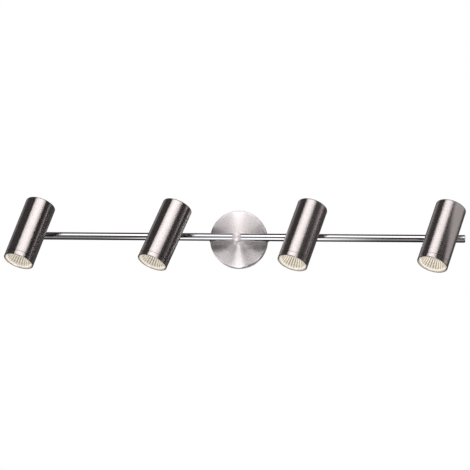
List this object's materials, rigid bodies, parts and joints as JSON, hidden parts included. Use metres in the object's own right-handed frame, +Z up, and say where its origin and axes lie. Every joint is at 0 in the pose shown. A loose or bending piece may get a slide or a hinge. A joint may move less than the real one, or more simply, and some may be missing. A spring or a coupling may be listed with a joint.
{
  "type": "bar spotlight",
  "caption": "Wall bar spotlight: a round canopy and hub post carry a straight chrome bar with cylindrical reflector-lamp heads that swivel and tilt.",
  "frame": {"origin": "centre of the mounting strap on the wall plane, which is also the centre of the canopy's rear rim", "axes": "+X along the bar to the right as seen from the room, +Y into the wall, +Z up"},
  "size_m": [0.82, 0.1631, 0.132],
  "materials": {
    "canopy_nickel": "satin nickel, brushed in rings",
    "post_nickel": "satin nickel, brushed",
    "bar_chrome": "polished chrome",
    "joint_chrome": "polished chrome",
    "head_nickel": "brushed nickel, fine grain",
    "screw_nickel": "nickel-plated steel",
    "zinc_steel": "zinc-plated steel",
    "brass": "machined brass",
    "earth_green": "green passivated screw",
    "terminal_nylon": "natural nylon",
    "lead_silicone": "woven sleeve over silicone insulation",
    "ceramic": "glazed steatite ceramic, opaque",
    "lamp_mirror": "fluted aluminised glass",
    "lamp_glass": "clear cover glass"
  },
  "bodies": {
    "fixture": {"canopy": "canopy_nickel", "mounting_strap": "zinc_steel", "canopy_screws": "screw_nickel", "earth_screw": "earth_green", "terminal_block": "terminal_nylon", "hub_post": "post_nickel", "hub_nipple": "brass", "hub_washer": "zinc_steel", "hub_nut": "brass", "bar_joiner": "zinc_steel", "bar_set_screws": "screw_nickel", "bar_left": "bar_chrome", "bar_right": "bar_chrome", "end_cap_left": "bar_chrome", "end_cap_right": "bar_chrome", "bar_leads": "lead_silicone"},
    "swivel_1": {"swivel_stem_1": "joint_chrome", "tilt_screw_1": "screw_nickel"},
    "head_1": {"head_lug_1": "joint_chrome", "head_shell_1": "head_nickel", "front_ring_1": "head_nickel", "lamp_reflector_1": "lamp_mirror", "lamp_lens_1": "lamp_glass", "lamp_base_1": "ceramic", "lamp_socket_1": "ceramic", "socket_carrier_1": "zinc_steel", "head_leads_1": "lead_silicone"},
    "swivel_2": {"swivel_stem_2": "joint_chrome", "tilt_screw_2": "screw_nickel"},
    "head_2": {"head_lug_2": "joint_chrome", "head_shell_2": "head_nickel", "front_ring_2": "head_nickel", "lamp_reflector_2": "lamp_mirror", "lamp_lens_2": "lamp_glass", "lamp_base_2": "ceramic", "lamp_socket_2": "ceramic", "socket_carrier_2": "zinc_steel", "head_leads_2": "lead_silicone"},
    "swivel_3": {"swivel_stem_3": "joint_chrome", "tilt_screw_3": "screw_nickel"},
    "head_3": {"head_lug_3": "joint_chrome", "head_shell_3": "head_nickel", "front_ring_3": "head_nickel", "lamp_reflector_3": "lamp_mirror", "lamp_lens_3": "lamp_glass", "lamp_base_3": "ceramic", "lamp_socket_3": "ceramic", "socket_carrier_3": "zinc_steel", "head_leads_3": "lead_silicone"},
    "swivel_4": {"swivel_stem_4": "joint_chrome", "tilt_screw_4": "screw_nickel"},
    "head_4": {"head_lug_4": "joint_chrome", "head_shell_4": "head_nickel", "front_ring_4": "head_nickel", "lamp_reflector_4": "lamp_mirror", "lamp_lens_4": "lamp_glass", "lamp_base_4": "ceramic", "lamp_socket_4": "ceramic", "socket_carrier_4": "zinc_steel", "head_leads_4": "lead_silicone"}
  },
  "joints": [
    {"name": "swivel_1", "type": "hinge", "parent": "fixture", "child": "swivel_1", "pos_m": [-0.3675, -0.075, 0], "axis": [0, 1, 0], "range_deg": [-190, 160]},
    {"name": "tilt_1", "type": "hinge", "parent": "swivel_1", "child": "head_1", "pos_m": [-0.3675, -0.075, 0], "axis": [-0.9659, 0, 0.2588], "range_deg": [-21.5, 63.5]},
    {"name": "swivel_2", "type": "hinge", "parent": "fixture", "child": "swivel_2", "pos_m": [-0.1225, -0.075, 0], "axis": [0, 1, 0], "range_deg": [-195, 155]},
    {"name": "tilt_2", "type": "hinge", "parent": "swivel_2", "child": "head_2", "pos_m": [-0.1225, -0.075, 0], "axis": [-0.9397, 0, 0.342], "range_deg": [-20, 65]},
    {"name": "swivel_3", "type": "hinge", "parent": "fixture", "child": "swivel_3", "pos_m": [0.1225, -0.075, 0], "axis": [0, 1, 0], "range_deg": [-192, 158]},
    {"name": "tilt_3", "type": "hinge", "parent": "swivel_3", "child": "head_3", "pos_m": [0.1225, -0.075, 0], "axis": [-0.9563, 0, 0.2924], "range_deg": [-22, 63]},
    {"name": "swivel_4", "type": "hinge", "parent": "fixture", "child": "swivel_4", "pos_m": [0.3675, -0.075, 0], "axis": [0, 1, 0], "range_deg": [-192.5, 157.5]},
    {"name": "tilt_4", "type": "hinge", "parent": "swivel_4", "child": "head_4", "pos_m": [0.3675, -0.075, 0], "axis": [-0.9537, 0, 0.3007], "range_deg": [-21.5, 63.5]}
  ]
}
